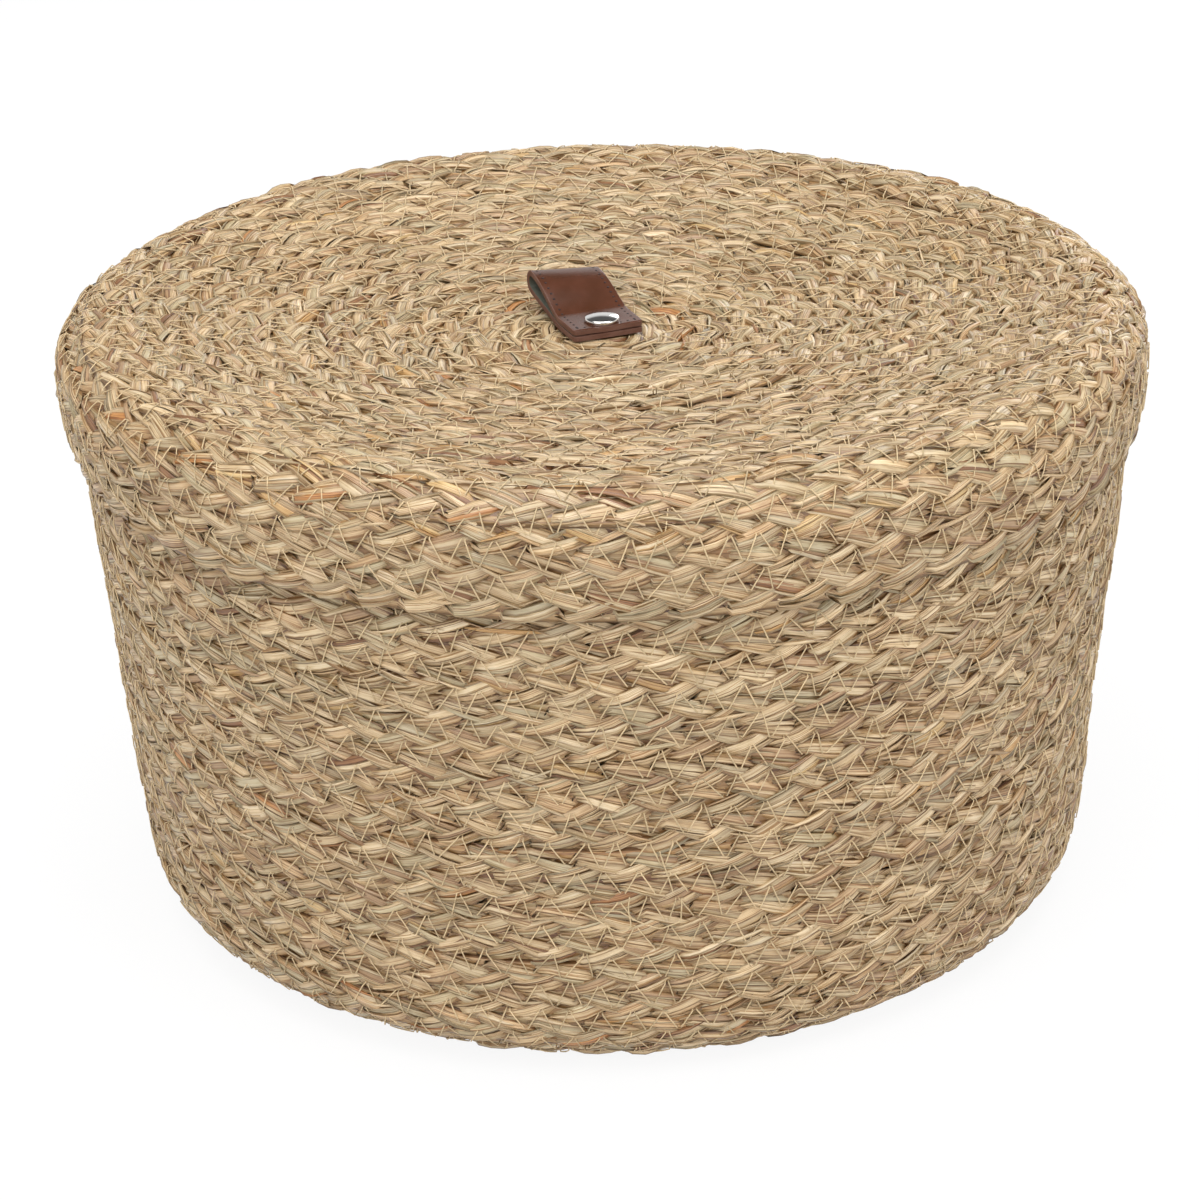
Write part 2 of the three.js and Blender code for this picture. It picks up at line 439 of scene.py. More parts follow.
# Winds the middle line of a plait along an outline, one row to a turn
def windPlait(outline, side, start, seed):
    rng = np.random.default_rng(seed)
    rows = round(outline.length / plait.width)
    line = Named(outline=outline, side=side, start=start, rows=rows, rng=rng)
    line.pitch = outline.length / rows
    turn = np.linspace(0, tau * rows, plait.windSteps * rows)
    place, heading = alongOutline(outline, rowPlace(line, turn))
    stride = np.gradient(turn) * (place[:, 0] - side * heading[:, 1] * plait.thickness / 2)
    run = np.cumsum(stride)
    ticks = np.cumsum(np.maximum(stride / plaitStep, np.gradient(turn) / plait.longestTurn))
    samples = np.arange(math.ceil(ticks[0]), math.floor(ticks[-1]))
    line.length = run[-1]
    line.turns = turn
    line.runs = run
    line.sampleTurn = np.interp(samples, ticks, turn)
    line.noise = noiseKnots(rng, run[-1], plait.knots)
    return line


# How far a row has climbed to the next one, from 0 to 1, and which row it is
def rowClimb(line, turn):
    row = np.clip(np.floor(turn / tau), 0, line.rows - 1)
    return row, smooth((turn / tau - row - 1 + plait.climb) / plait.climb)


# Rows are level, and each climbs at the back; the last one runs out there under the one before it
def rowPlace(line, turn):
    row, climb = rowClimb(line, turn)
    return line.pitch * (row + 0.5 + climb * np.where(row < line.rows - 1, 1, 0.5))


# Places and directions on the middle surface of the plait, offset across the row
def onPlait(line, turn, offset=0.0):
    place, heading = alongOutline(line.outline, rowPlace(line, turn) + offset)
    facing = line.side * rightOf(heading)
    middle = place - facing * plait.thickness / 2
    angle = turn + line.start
    return Named(
        middle=spun(middle, angle),
        across=spun(heading, angle),
        out=spun(facing, angle),
        along=np.stack([-np.sin(angle), np.cos(angle), 0 * angle], 1),
    )


# How full the plait is at a place along it: it thins where the last row runs out
def fullness(line, run):
    turn = np.interp(run, line.runs, line.turns)
    row, climb = rowClimb(line, turn)
    return np.where(row < line.rows - 1, 1, 1 - plait.thinning * climb)


# Sideways and outward offset of one strand, how fast they change, and how often it has turned over
def strandCourse(line, run, strand):
    uneven = plait.phaseWander * wander(line.noise["phase"], run)
    pace = 2 * run / plait.period + uneven + 2 * strand / plait.strands
    edge = np.floor(pace)
    part = pace - edge
    phase = math.pi * (edge + part - plait.lag * np.sin(math.pi * part) - 0.5)
    rate = tau / plait.period * (1 - plait.lag * math.pi * np.cos(math.pi * part))
    place = run + plait.wanderShift * strand
    uneven = 1 + plait.swayWander * wander(line.noise["sway"], place)
    full = fullness(line, run)
    sway, lift = plait.sway * uneven * full, plait.lift * uneven * full
    bent = plait.straightness * np.sin(phase)
    furthest = math.asin(plait.straightness)
    steepness = plait.straightness * np.cos(phase) / np.sqrt(1 - bent**2)
    return Named(
        sway=sway * np.arcsin(bent) / furthest,
        lift=-lift * np.sin(2 * phase),
        swayRate=sway * steepness / furthest * rate,
        liftRate=-2 * lift * np.cos(2 * phase) * rate,
        turnedOver=edge + smooth((part - plait.turnFrom) / plait.turnShare),
        slimness=1 - plait.waist * np.cos(math.pi * part) ** 2,
    )


# Presses flat what would go below the table, or up into the foot of the pull
press = Named(foot=0.0145, under=0.00025, slope=0.15)


def pressed(rings):
    past = np.hypot(rings[..., 0], rings[..., 1]) - press.foot
    ceiling = lowerEndLow.z - press.under + press.slope * np.maximum(past, 0)
    rings[..., 2] = np.clip(rings[..., 2], 0, ceiling)
    return rings


# Corners of a blade's section, in shares of its half width and half thickness
bladeSection = np.array([(1, 0), (0.5, 0.85), (0.1, 0.7), (-0.5, 0.9), (-1, 0), (0, -0.8)])


def bladeRings(middle, flat, face, halfWidth, halfThick):
    wide = np.broadcast_to(halfWidth, len(middle))[:, None, None] * flat[:, None]
    thick = np.broadcast_to(halfThick, len(middle))[:, None, None] * face[:, None]
    return pressed(middle[:, None] + bladeSection[:, :1] * wide + bladeSection[:, 1:] * thick)


# Cuts a course of samples into lengths of blade, each starting where the last one ends
def bladeLengths(rng, count, limits):
    fewest = plait.fewestSteps
    first = 0
    while first < count - fewest:
        last = first + max(fewest, int(rng.uniform(*limits) / plaitStep))
        last = count - 1 if last > count - fewest - 2 else last
        yield slice(first, last + 1)
        first = last


# One strand's middle line and its own directions
def strandFrame(line, rows, strand):
    course = strandCourse(line, rows.run, strand)
    sway, lift = course.sway[:, None], course.lift[:, None]
    heading = rows.across * course.swayRate[:, None] + rows.out * course.liftRate[:, None]
    along = unit(rows.along + heading)
    across = unit(rows.across - along * np.sum(along * rows.across, 1, keepdims=True))
    out = line.side * np.cross(across, along)
    middle = rows.middle + rows.across * sway + rows.out * lift
    return middle, across, out, course


# Puts one blade into the piece where it starts
def addBlade(line, rows, bins, part, rings):
    rng = line.rng
    # the blade's colour gets the painted shade of its depth in the plait
    shade = depthShaded(pickShade(rng), rings, rows, part)
    length = rows.run[part.stop - 1] - rows.run[part.start]
    home = bins[part.start // plait.samplesPerPiece]
    home.add(rings, shade, rng.uniform(0, mapSpread), length)


# Blades of a strand: each wanders in the bundle, and its ends are tapered and mostly tucked in
blades = Named(
    inset=0.28,  # of a blade's width, from the edge of the strand
    knots={"spin": 0.045, "width": 0.02, "puff": 0.012},
    spinWander=0.25,
    widthWander=0.16,
    puffWander=0.12,
    sizes=(0.75, 1.3),  # least and most of the usual width and thickness
    tip=0.15,  # what is left of its width at an end
    tipStep=0.4,  # an end counts as this much of a step
    taperSteps=2.4,
    tucks=[0.5, 1.2],  # how far out an end lies in its strand
    tuckShares=[0.9, 0.1],
    tuckSteps=3,
)


def addStrandBlades(line, rows, bins, strand):
    rng = line.rng
    run = rows.run
    middle, across, out, course = strandFrame(line, rows, strand)
    wide = plait.strandWidth / 2 - plait.bladeWidth * blades.inset
    wide = wide * course.slimness[:, None]
    thick = plait.strandThickness / 2
    full = fullness(line, run)
    count = plait.bladesPerStrand
    for blade in range(count):
        noise = noiseKnots(rng, line.length, blades.knots)
        place = blade / count + strand / count + run / plait.twistLength
        uneven = blades.spinWander * wander(noise["spin"], run)
        spin = tau * place + math.pi * course.turnedOver + uneven
        cosSpin, sinSpin = np.cos(spin)[:, None], np.sin(spin)[:, None]
        girth = np.hypot(wide * sinSpin, thick * cosSpin)
        flat = (thick * cosSpin * out - wide * sinSpin * across) / girth
        face = (thick * cosSpin * across + wide * sinSpin * out) / girth
        puff = (1 + blades.puffWander * wander(noise["puff"], run)) * full
        offset = puff[:, None] * (wide * cosSpin * across + thick * sinSpin * out)
        width = (1 + blades.widthWander * wander(noise["width"], run)) * full
        for part in bladeLengths(rng, len(run), plait.bladeLength):
            steps = np.arange(part.stop - part.start)
            fromEnd = np.minimum(steps, steps[::-1])
            taper = np.clip((fromEnd + blades.tipStep) / blades.taperSteps, blades.tip, 1)
            tuck = rng.choice(blades.tucks, p=blades.tuckShares)
            reach = tuck + (1 - tuck) * np.clip(fromEnd / blades.tuckSteps, 0, 1)
            rings = bladeRings(
                middle[part] + reach[:, None] * offset[part],
                flat[part],
                face[part],
                plait.bladeWidth / 2 * rng.uniform(*blades.sizes) * width[part] * taper,
                plait.bladeThickness / 2 * rng.uniform(*blades.sizes) * taper,
            )
            addBlade(line, rows, bins, part, rings)


# Straight blades that fill a row: one flat core coloured in painted shade, and one along each seam
def addRowBlades(line, rows, bins):
    rng = line.rng
    run = rows.run
    full = fullness(line, run)

    def straight(part, shift, halfWidth, halfThick):
        middle = rows.middle[part] + rows.across[part] * (shift * full[part])[:, None]
        return bladeRings(middle, rows.across[part], rows.out[part], halfWidth * full[part], halfThick)

    for edge in (-1, 1):
        shift = edge * (line.pitch / 2 - plait.edgeInset)
        for part in bladeLengths(rng, len(run), plait.bladeLength):
            rings = straight(part, shift, plait.edgeWidth / 2, plait.edgeThickness / 2 * full[part])
            addBlade(line, rows, bins, part, rings)
    for i, strips in enumerate(bins):
        first = i * plait.samplesPerPiece
        part = slice(first, min(first + plait.samplesPerPiece + 1, len(run)))
        rings = straight(part, 0, line.pitch * plait.coreHalf, plait.bladeThickness)
        length = run[part][-1] - run[part][0]
        # the core's colour is painted shade
        strips.add(rings, np.array(seagrass.core), rng.uniform(0, mapSpread), length)


def weavePlait(line, name, finish):
    turn = line.sampleTurn
    run = np.interp(turn, line.turns, line.runs)
    rows = onPlait(line, turn, plait.rowShift * wander(line.noise["shift"], run))
    rows.middle = rows.middle + rows.out * rowRise(line, run)[:, None]
    rows.run = run
    bins = [StripBin() for i in range(math.ceil(len(turn) / plait.samplesPerPiece))]
    for strand in range(plait.strands):
        addStrandBlades(line, rows, bins, strand)
    addRowBlades(line, rows, bins)
    made = [strips.make(f"{name}_{i + 1:02d}", finish) for i, strips in enumerate(bins)]
    print(name, "woven:", len(made), "pieces,", round(line.length, 1), "m of plait")
    return made


def rowRise(line, run):
    return plait.rowRise * wander(line.noise["rise"], run)


# Height of the plait's face over its middle surface, at a place across the row
def plaitHeight(line, turn, across, face):
    run = np.interp(turn, line.turns, line.runs)
    half = plait.strandWidth / 2
    crown = plait.strandThickness / 2 + plait.bladeThickness / 2
    height = np.full_like(run, plait.edgeThickness / 2)
    for strand in range(plait.strands):
        course = strandCourse(line, run, strand)
        bulge = 1 - ((across - course.sway) / half) ** 2
        top = face * course.lift + crown * np.sqrt(np.maximum(bulge, 0))
        height = np.where(bulge > 0, np.maximum(height, top), height)
    return height + face * rowRise(line, run)


# Short blade ends that lie askew on the face of the plait
looseEnds = Named(
    spacing=0.11,
    margin=0.1,  # without any, at both ends of the plait
    length=(0.010, 0.026),
    slant=math.radians(12),
    spread=0.3,  # of a row's width, to either side
    width=0.0013,
    widths=(0.6, 1.2),  # least and most of that
    halfThick=0.00028,
    rise=0.0004,  # of its middle over the plait
    bow=0.0044,  # four times how far its tips bend down
    point=0.53,  # where it would come to a point, from its middle, in shares of its length
    taper=0.36,
    tip=0.1,
    lightness=1.05,
)


def strewEnds(line, name, finish, seed):
    rng = np.random.default_rng(seed)
    strips = StripBin()
    part = np.linspace(-0.5, 0.5, 7)
    margin, spread = looseEnds.margin, looseEnds.spread
    for place in np.arange(margin, line.length - margin, looseEnds.spacing):
        run = place + rng.uniform(0, looseEnds.spacing)
        length = rng.uniform(*looseEnds.length)
        slant = looseEnds.slant * rng.standard_normal()
        turn = np.interp(run + part * length * math.cos(slant), line.runs, line.turns)
        across = rng.uniform(-spread, spread) * line.pitch + part * length * math.sin(slant)
        height = plaitHeight(line, turn, across, 1)
        level = height.mean() + looseEnds.rise - looseEnds.bow * part**2
        spot = onPlait(line, turn, across)
        middle = spot.middle + spot.out * level[:, None]
        along = unit(np.gradient(middle, axis=0))
        flat = unit(np.cross(along, spot.out))
        taper = (looseEnds.point - np.abs(part)) / looseEnds.taper
        taper = np.clip(taper, looseEnds.tip, 1)
        width = looseEnds.width / 2 * rng.uniform(*looseEnds.widths) * taper
        rings = bladeRings(middle, flat, spot.out, width, looseEnds.halfThick * taper)
        shade = pickShade(rng) * looseEnds.lightness
        strips.add(rings, shade, rng.uniform(0, mapSpread), length)
    print(name, "strewn:", len(strips.strips), "blade ends")
    return strips.make(name, finish)


# Basket, from the middle of the base out, round the corner and up to the rim
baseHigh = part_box("basket_base")[1]
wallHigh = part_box("basket_wall")[1]
basket = Named(
    seat=0.0003,
    stand=0.0006,  # the base's plait clears the table by this, and its thread rests on it
    corner=0.020,
    lean=math.radians(4.5),
    shoulder=0.138,
    neckInset=0.0022,
    neckRise=0.010,
    start=math.radians(144),
)


def basketOutline():
    floor = baseHigh.x + basket.seat
    lean, corner, shoulder = basket.lean, basket.corner, basket.shoulder
    low = basket.stand
    bend = arcPoints((floor, corner + low), corner, -90, -math.degrees(lean))
    widest = bend[-1][0] + (shoulder - bend[-1][1]) * math.tan(lean)
    neck = widest - basket.neckInset
    top = [(widest, shoulder), (neck, shoulder + basket.neckRise), (neck, wallHigh.z)]
    return easedOutline([(0, low)] + bend + top)


# Lid, from the rivet out over the dish, round the rolled edge and down the skirt
skirtLow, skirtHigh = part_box("lid_skirt")
lowerEndLow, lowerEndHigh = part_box("strap_lower_end")
lid = Named(
    seat=0.0003,
    bore=0.0019,
    dish=0.014,
    slope=math.radians(12),
    edge=0.014,
    bulge=0.0018,
    start=math.radians(144),
)


def curve(first, control, last, count):
    t = np.linspace(0, 1, count)[:, None]
    first, control, last = np.array(first), np.array(control), np.array(last)
    points = (1 - t) ** 2 * first + 2 * t * (1 - t) * control + t**2 * last
    return [tuple(point) for point in points]


def lidOutline():
    radius = (skirtHigh.x - skirtLow.x) / 2
    middle = lowerEndLow.z - lid.seat
    edge, slope = lid.edge, lid.slope
    centre = (radius - edge, middle + lid.dish - edge)
    bend = arcPoints(centre, edge, 90 + math.degrees(slope), 0)
    levelOut = bend[0][0] - (bend[0][1] - middle) / math.tan(slope)
    dish = curve((lid.bore, middle), (levelOut, middle), bend[0], count=40)
    foot = (radius - lid.bulge, skirtLow.z - lid.seat)
    skirt = curve(bend[-1], (radius, (foot[1] + bend[-1][1]) / 2), foot, count=16)
    return easedOutline(dish[:-1] + bend + skirt[1:])


# Sewing thread: a zigzag over each seam, with its corners sunk into the plait
sewing = Named(
    stitch=0.0042,
    reach=0.40,  # of a row's width, to either side of the seam
    radius=0.0002,
    rise=0.0005,  # of its middle over the plait
    sink=0.0011,
    sag=0.00015,  # under the highest blade that a stitch crosses
    hole=0.0003,  # from a corner's hole to the thread on either side
    points=np.array([0, 0.08, 0.36, 0.64, 0.92, 1]),
    cornerWander=0.15,  # of a stitch
    reachWander=0.12,
    shadeWander=0.08,
    colour=(0.54, 0.415, 0.248),
    stitchesPerPiece=3600,
)


# Look of the thread, in the seams and in the pull
threadLook = Named(
    grain=(900, 3, 9),
    light=(0.75, 1.25),  # from the darkest grain to the lightest
    surface={"Roughness": 0.6, "Specular IOR Level": 0.3},
)


def threadFinish(name):
    material, wire, surface = newFinish(name, threadLook.surface)
    tint = wire.attribute("stripColour", "Color")
    grain = wire.noise(wire.attribute("stripMap", "Vector").times(threadLook.grain))
    shares = {0: tint, "Scale": grain.within(threadLook.light)}
    feed(wire.node("ShaderNodeVectorMath", {"operation": "SCALE"}, shares), surface, "Base Color")
    return material


threadSection = np.array([(1, 0), (0, 1), (-1, 0), (0, -1)])


def threadRings(centre, out):
    along = unit(np.gradient(centre, axis=-2))
    sideways = unit(np.cross(along, out))
    upright = np.cross(sideways, along)
    sides = [x * sideways + y * upright for x, y in threadSection]
    return pressed(np.stack([centre + sewing.radius * side for side in sides], -2))


def sewSeams(line, name, finish, face, seed):
    rng = np.random.default_rng(seed)
    half = line.pitch / 2
    lastRun = np.interp(line.turns[-1] - tau, line.turns, line.runs)
    count = int(lastRun / sewing.stitch)
    uneven = sewing.cornerWander * rng.standard_normal(count + 1)
    corners = (np.arange(count + 1) + uneven) * sewing.stitch
    swing = np.where(np.arange(count + 1) % 2 == 0, -1, 1)
    uneven = 1 + sewing.reachWander * rng.standard_normal(count + 1)
    reach = swing * sewing.reach * line.pitch * uneven
    points = sewing.points
    start, end = corners[:-1] + sewing.hole, corners[1:] - sewing.hole
    run = start[:, None] + (end - start)[:, None] * points
    across = reach[:-1, None] + (reach[1:] - reach[:-1])[:, None] * points
    turn = np.interp(run, line.runs, line.turns)
    rowGap = rowPlace(line, turn + tau) - rowPlace(line, turn)
    nextRow = half + across > rowGap / 2
    height = plaitHeight(
        line,
        np.where(nextRow, turn + tau, turn).ravel(),
        np.where(nextRow, half + across - rowGap, half + across).ravel(),
        face,
    ).reshape(turn.shape)
    taut = height[:, 1:-1].max(1, keepdims=True) - sewing.sag
    level = np.maximum(height, taut) + sewing.rise
    level[:, [0, -1]] = height[:, [0, -1]] - sewing.sink
    spot = onPlait(line, turn.ravel(), (half + across).ravel())
    centre = spot.middle + face * spot.out * level.reshape(-1, 1)
    rings = threadRings(centre.reshape(count, -1, 3), spot.out.reshape(count, -1, 3))
    threadLength = sewing.stitch * 2  # about, from hole to hole
    pieces = math.ceil(count / sewing.stitchesPerPiece)
    made = []
    for i in range(pieces):
        strips = StripBin()
        for stitch in range(i * count // pieces, (i + 1) * count // pieces):
            shade = np.array(sewing.colour) * (1 + sewing.shadeWander * rng.standard_normal())
            strips.add(rings[stitch], shade, rng.uniform(0, mapSpread), threadLength)
        made.append(strips.make(f"{name}_{i + 1}", finish))
    print(name, "sewn:", count, "stitches")
    return made


# Loose thread ends low on the front, as (sideways, height) over the wall in millimetres
threadEnds = Named(
    courses=[
        [(-10.6, 56.4), (-6.8, 54.8), (-1.2, 50.4), (1.4, 49.6), (3.4, 51.8), (2.6, 57.2), (3.1, 61)],
        [(-4.6, 57.4), (-4.2, 56.2), (0, 56.8), (4.9, 53.3), (10.9, 50.4), (16.7, 52.2), (17.1, 59.8)],
        [(11.3, 74.9), (12.3, 71), (13.6, 66.3), (14.9, 61)],
    ],
    spacing=0.0005,
    low=0.0002,  # over the plait at both ends
    lift=0.0007,  # and further up between them
)


def layThreadEnds(line, name, finish):
    strips = StripBin()
    outline = line.outline
    wall = outline.line[:, 1] > basket.corner
    for i, end in enumerate(threadEnds.courses):
        course = easedOutline(np.array(end) / 1000, threadEnds.spacing, ease=4).line
        along = np.interp(course[:, 1], outline.line[wall, 1], outline.run[wall])
        place, heading = alongOutline(outline, along)
        angle = course[:, 0] / place[:, 0] - math.pi / 2
        out = spun(rightOf(heading), angle)
        arch = np.sin(np.linspace(0, math.pi, len(angle)))[:, None] ** 0.5
        centre = spun(place, angle) + out * (threadEnds.low + threadEnds.lift * arch)
        length = len(angle) * threadEnds.spacing
        strips.add(threadRings(centre, out), np.array(sewing.colour), i, length)
    return strips.make(name, finish)


grass = seagrassFinish()
thread = threadFinish("sewing_thread")
basketLine = windPlait(basketOutline(), 1, basket.start, seed=11)
lidLine = windPlait(lidOutline(), -1, lid.start, seed=12)
basketPlait = weavePlait(basketLine, "basket_plait", grass)
lidPlait = weavePlait(lidLine, "lid_plait", grass)
basketPlait.append(strewEnds(basketLine, "basket_loose_ends", grass, seed=21))
lidPlait.append(strewEnds(lidLine, "lid_loose_ends", grass, seed=22))
basketThread = sewSeams(basketLine, "basket_thread_outside", thread, face=1, seed=31)
basketThread += sewSeams(basketLine, "basket_thread_inside", thread, face=-1, seed=32)
basketThread.append(layThreadEnds(basketLine, "basket_thread_ends", thread))
lidThread = sewSeams(lidLine, "lid_thread_outside", thread, face=1, seed=33)
lidThread += sewSeams(lidLine, "lid_thread_inside", thread, face=-1, seed=34)
for piece in basketPlait:
    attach(piece, "basket")
    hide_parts("basket_base", "basket_wall")
for piece in lidPlait:
    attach(piece, "lid")
    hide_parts("lid_top", "lid_skirt")
for piece in basketThread:
    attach(piece, "basket")
for piece in lidThread:
    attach(piece, "lid")


# Leather pull: one strip, folded double, with both ends stacked on the rivet
upperEndLow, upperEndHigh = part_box("strap_upper_end")
pull = Named(
    turn=math.radians(21),
    width=0.022,
    thickness=0.00175,
    end=0.0056,  # from the rivet to the cut ends
    corner=0.0015,
    bend=0.0076,  # from the rivet to the line where it bends
    bendHalf=0.0025,  # it bends over this much on either side of the line
    reach=0.0226,  # from the bend to the fold
    legStart=0.0005,  # from the bend to where the two legs slope up
    rise=math.radians(12.5),
    twist=math.radians(5),  # of the fold, to its left side
    stackHalf=0.00100,  # half the distance between the two legs, at the bend
    foldHalf=0.0028,  # and at the fold
    bulge=0.0007,  # of the upper leg, two thirds of the way to the fold
    flat=0.0055,  # from the rivet to where the legs start to rise
    drop=0.00185,  # from the top of the stack to the middle between the legs
    edgeRound=0.00025,
    columns=33,
    steps=90,
    endSteps=np.array([0, 0.00006, 0.0002, 0.0005, 0.0009, 0.0014]),  # closer steps at a cut end
    endLength=0.0020,
    endThin=0.80,  # of the thickness, at a cut end
    thinLength=0.0025,
    raw=0.0010,  # how far the cut ends show on the inner side
    dent=0.0003,  # where the rivet presses
    dentRadius=0.0062,
    stitchInset=0.0019,  # from the edges to the stitches
    colours={
        "face": (0.063, 0.0195, 0.0072, 1),
        "worn": (0.084, 0.026, 0.0115, 1),
        "flesh": (0.085, 0.088, 0.066, 1),
        "edge": (0.135, 0.060, 0.039, 1),
    },
    finishes=[  # one for each zone of the section: name, two colours, roughness and grain
        ("pull_leather", "face", "worn", 0.22, 0.25),
        ("pull_cut_edge", "edge", "worn", 0.65, 0.6),
        ("pull_flesh_side", "flesh", "flesh", 0.9, 0.7),
    ],
)


def pullPath():
    lower = (lowerEndLow.z + lowerEndHigh.z) / 2
    upper = (upperEndLow.z + upperEndHigh.z) / 2
    cosRise, sinRise = math.cos(pull.rise), math.sin(pull.rise)

    def lifted(reach, height):
        height -= pull.drop
        y = pull.bend + reach * cosRise - height * sinRise
        return (y, upperEndHigh.z + reach * sinRise + height * cosRise)

    def half(reach):
        opening = pull.foldHalf - pull.stackHalf
        return pull.stackHalf + opening * smooth(reach / pull.reach)

    def bulge(reach):
        part = reach / pull.reach
        return pull.bulge * 27 / 4 * part**2 * (1 - part)  # 27 / 4 makes its peak a full bulge

    reaches = np.linspace(pull.legStart, pull.reach, 14)
    under = [lifted(reach, -half(reach)) for reach in reaches]
    over = [lifted(reach, half(reach) + bulge(reach)) for reach in reaches[::-1]]
    turns = np.linspace(-math.pi / 2, math.pi / 2, 12)[1:-1]
    radius = pull.foldHalf
    fold = [lifted(pull.reach + radius * math.cos(a), radius * math.sin(a)) for a in turns]
    points = [(-pull.end, lower), (pull.flat, lower)] + under + fold + over
    return easedOutline(points + [(pull.flat, upper), (-pull.end, upper)], ease=7)


# Section of the strip as (sideways, outwards, zone), from the outer face round to the inner
def pullSection():
    side, half, rounding = pull.width / 2, pull.thickness / 2, pull.edgeRound
    flat = np.linspace(-side + rounding, side - rounding, pull.columns)
    outer = [(x, half, 0) for x in flat]
    corner = [(side - rounding, half - rounding), (side - rounding, rounding - half)]
    edge = [(x, y, 1) for x, y in arcPoints(corner[0], rounding, 72, 0, count=4)]
    edge += [(x, y, 1) for x, y in arcPoints(corner[1], rounding, 0, -72, count=4)]
    inner = [(x, -half, 2) for x in flat[::-1][::4]]
    return outer + edge + inner + [(-x, y, zone) for x, y, zone in edge[::-1]]


# A place on the strip: how far along it, sideways and out of its outer face
def onPull(path, along, sideways, outwards):
    place, heading = alongOutline(path, np.atleast_1d(along))
    spot = place + rightOf(heading) * np.reshape(outwards, (-1, 1))
    x = np.broadcast_to(sideways, len(spot))
    twisted = math.tan(pull.twist) * smooth((spot[:, 0] - pull.bend) / pull.reach)
    dented = pull.dent * np.exp(-((np.hypot(x, spot[:, 0]) / pull.dentRadius) ** 4))
    height = spot[:, 1] - x * twisted - dented * (along > path.length / 2)
    cosTurn, sinTurn = math.cos(pull.turn), math.sin(pull.turn)
    return np.stack([x * cosTurn - spot[:, 0] * sinTurn, x * sinTurn + spot[:, 0] * cosTurn, height], 1)


leather = Named(
    cells={"Scale": 1800.0},
    clouds={"Scale": 160.0, "Detail": 4.0},
    wearStops=[(0.38, 0.0), (0.75, 1.0)],
    unevenness=0.08,  # of the roughness
    relief=0.00012,
    cellShare=0.6,
    surface={"Specular IOR Level": 0.5},
)


def leatherFinish(name, colour, worn, roughness, grain):
    material, wire, surface = newFinish(name, leather.surface)
    where = wire.attribute("leatherMap", "Vector")
    cells = wire.node("ShaderNodeTexVoronoi", {}, {"Vector": where, **leather.cells}, out="Distance")
    clouds = wire.node("ShaderNodeTexNoise", {}, {"Vector": where, **leather.clouds})
    feed(clouds.ramp(leather.wearStops).mix(colour, worn), surface, "Base Color")
    unevenness = leather.unevenness
    feed(clouds * unevenness + (roughness - unevenness / 2), surface, "Roughness")
    height = cells * leather.cellShare + clouds
    relief = {"Strength": grain, "Distance": leather.relief, "Height": height}
    feed(wire.bump(relief), surface, "Normal")
    return material


def foldPull(path):
    section = pullSection()
    total = path.length
    ends, first = pull.endSteps, pull.endLength
    between = np.linspace(first, total - first, pull.steps)
    places = np.concatenate([ends, between, total - ends[::-1]])
    fromEnd = np.minimum(places, total - places)
    corner, side = pull.corner, pull.width / 2
    inCorner = np.clip(corner - fromEnd, 0, corner)
    narrow = (side - corner + np.sqrt(corner**2 - inCorner**2)) / side
    thin = np.clip(pull.endThin + fromEnd / pull.thinLength, 0, 1)
    verts, maps = [], []
    for sideways, outwards, zone in section:
        verts.append(onPull(path, places, sideways * narrow, outwards * thin))
        maps.append(np.stack([places, 0 * places + sideways, 0 * places + outwards], 1))
    zones = np.tile([zone for sideways, outwards, zone in section], (len(places) - 1, 1))
    zones[:, zones[0] == 2] = np.where(fromEnd[1:] < pull.raw, 1, 2)[:, None]
    zones = zones.ravel().tolist() + [1, 1]
    mesh = tubeMesh("pull_strap", np.stack(verts, 1).reshape(-1, 3).tolist(), len(section))
    mesh.polygons.foreach_set("material_index", zones)
    mesh.polygons[-1].use_smooth = False
    mesh.polygons[-2].use_smooth = False
    where = mesh.attributes.new("leatherMap", "FLOAT_VECTOR", "POINT")
    where.data.foreach_set("vector", np.stack(maps, 1).astype(np.float32).ravel())
    for name, colour, worn, roughness, grain in pull.finishes:
        colours = pull.colours[colour], pull.colours[worn]
        mesh.materials.append(leatherFinish(name, *colours, roughness, grain))
    return addPiece("pull_strap", mesh)


# Stitches of the pull: pricked holes, each a small nearly black disc of painted shade, with a fine
# thread between them, along both edges and one end
pullStitch = Named(
    pitch=0.0024,
    radius=0.00016,
    hole=0.00042,
    thread=(0.100, 0.033, 0.016),
    # colour of the hole discs: painted shade
    pricked=(0.010, 0.004, 0.004),
    holeRings=[(-0.0003, 0.6), (0.00003, 1), (0.00006, 0.5)],  # height and share of the radius
    holeLength=0.001,
    span=(0.15, 0.85),  # of the way from hole to hole that a thread shows
    sunk=0.00022,
    arch=0.00008,
    threadLength=0.002,
)


